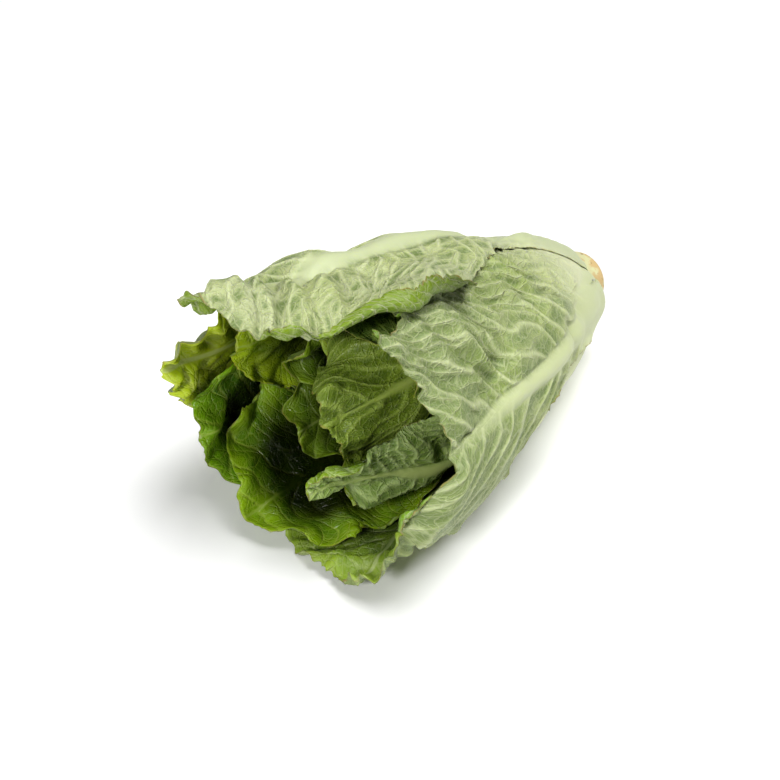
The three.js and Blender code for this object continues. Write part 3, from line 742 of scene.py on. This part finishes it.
OUTER_LEAVES = [
    dict(name="outer_leaf_1", around=303, drift=2, root=11, tip=264, half=[52, 74], blunt=1,
         recess=[0.05, 0.01, 0, 0, 0.06], level=0.9, flare=0.12, lift=[0.03, 0], wave=5,
         shades=dict(face=(0.2, 0.32, 0.015, 1), deep=(0.1, 0.19, 0.006, 1), fresh=(0.3, 0.42, 0.03, 1),
                     vein=(0.42, 0.5, 0.18, 1), painted_shade=0.6)),
    # This leaf's face is painted brighter than the other outer leaves', as painted light shining through it.
    dict(name="outer_leaf_2", around=172, drift=2, root=9, tip=286, half=60, blunt=0.6, recess=0.16,
         level=0.93, flare=0.1, lift=0.02, wave=5,
         shades=dict(face=(0.42, 0.55, 0.005, 1), deep=(0.27, 0.39, 0.003, 1), fresh=(0.5, 0.61, 0.008, 1),
                     vein=(0.55, 0.62, 0.12, 1), painted_shade=0.4, line=1.5)),
    dict(name="outer_leaf_3", around=342, drift=-6, root=8, tip=226, half=[42, 62], blunt=0.5, recess=0.16,
         level=0.92, flare=0.02, lift=0.02, wave=4),
    dict(name="outer_leaf_4", around=20, drift=-5, root=7, tip=254, half=[66, 73], blunt=[0.86, 0.84],
         recess=[0.04, -0.08, 0.02, 0.01, -0.06], level=0.93, flare=0.06, lift=[0.17, 0.02], nod=[0.22, 0],
         wave=5, widens=3, late=[0.5, 0.75],
         roll={"side": -1, "past": 0.7, "turn": 165, "from": 0.1, "to": 0.6},
         own=dict(spacing=20, quilt=1.7, folds=3.6, rib_seen=1.5),
         shades=dict(rib=(0.5, 0.55, 0.3, 1), greening_and_shade=0.75, line=1.5)),
    dict(name="outer_leaf_5", around=104, drift=26, root=5, tip=310, half=87, blunt=[0.62, 0.5],
         recess=[0.03, 0, 0.03, 0.12, 0.28], level=0.9, flare=0.2, lift=[-0.34, 0.02], wave=4, widens=0.65,
         late=[0.25, 0.85], roll={"side": -1, "past": 0.76, "turn": 150, "from": 0.5, "to": 1.1},
         own=dict(spacing=13, quilt=1.1),
         shades=dict(face=(0.15, 0.25, 0.008, 1), deep=(0.1, 0.19, 0.005, 1), fresh=(0.21, 0.31, 0.01, 1),
                     back=(0.43, 0.47, 0.25, 1), sappy=(0.4, 0.46, 0.18, 1), rib=(0.47, 0.52, 0.3, 1),
                     greening_and_shade=0.1, painted_shade=0.5)),
]
for leaf in OUTER_LEAVES:
    lay_leaf(leaf, OUTER)

# The floor is a plain pale sheet that the head lies on, wide enough for its edge not to show.
FLOOR_SIZE = 6
bpy.ops.object.select_all(action="DESELECT")
bpy.ops.mesh.primitive_plane_add(size=FLOOR_SIZE)
floor = bpy.context.object
floor.name = "floor"
paper = Finish("pale_paper")
paper.put(paper.surface.inputs["Base Color"], (0.95, 0.95, 0.95, 1))
paper.put(paper.surface.inputs["Roughness"], 0.8)
floor.data.materials.append(paper.material)

# The light is soft studio light: a broad lamp high overhead and a little to the right, a small, weaker one
# low in front on the left, which the gloss shows, and a pale room all round.
def lamp(name, place, size, power):
    light = bpy.data.lights.new(name, "AREA")
    light.size, light.energy = size, power
    holder = bpy.data.objects.new(name, light)
    bpy.context.scene.collection.objects.link(holder)
    holder.location = place
    aim = -np.array(place)
    yaw, pitch = math.atan2(aim[1], aim[0]), math.atan2(-aim[2], math.hypot(aim[0], aim[1]))
    holder.rotation_euler = (math.pi / 2 - pitch, 0, yaw - math.pi / 2)


lamp("lamp_high", (0.3, -0.6, 2.5), 1.4, 78)
lamp("lamp_side", (-1.7, -0.3, 1.2), 0.35, 24)
room = bpy.data.worlds.new("pale_room")
room.use_nodes = True
room.node_tree.nodes["Background"].inputs["Color"].default_value = (1, 1, 1, 1)
room.node_tree.nodes["Background"].inputs["Strength"].default_value = 0.12
bpy.context.scene.world = room
bpy.context.scene.view_settings.view_transform = "Standard"

# The camera looks down at the open tips from in front and to the left, as the photograph does. Its lens
# is set by how much of the scene, in metres, the square picture is wide at the head.
AZIMUTH, ELEVATION, TILT = math.radians(-52.59), math.radians(39.51), math.radians(1.55)
DISTANCE = 0.7
AIM = np.array([-0.0463, 0.0045, 0.0597])
SEEN_WIDTH = 0.4316
level_back = np.array([math.sin(AZIMUTH), -math.cos(AZIMUTH), 0])
back = math.cos(ELEVATION) * level_back + np.array([0, 0, math.sin(ELEVATION)])
level_right = np.array([math.cos(AZIMUTH), math.sin(AZIMUTH), 0])
level_up = np.cross(back, level_right)
right = math.cos(TILT) * level_right + math.sin(TILT) * level_up
up = math.cos(TILT) * level_up - math.sin(TILT) * level_right
camera = bpy.data.objects.new("camera", bpy.data.cameras.new("camera"))
bpy.context.scene.collection.objects.link(camera)
axes = [[*axis, 0] for axis in (right, up, back)]
camera.matrix_world = Matrix(axes + [[*AIM + DISTANCE * back, 1]]).transposed()
camera.data.lens = camera.data.sensor_width * DISTANCE / SEEN_WIDTH
bpy.context.scene.camera = camera
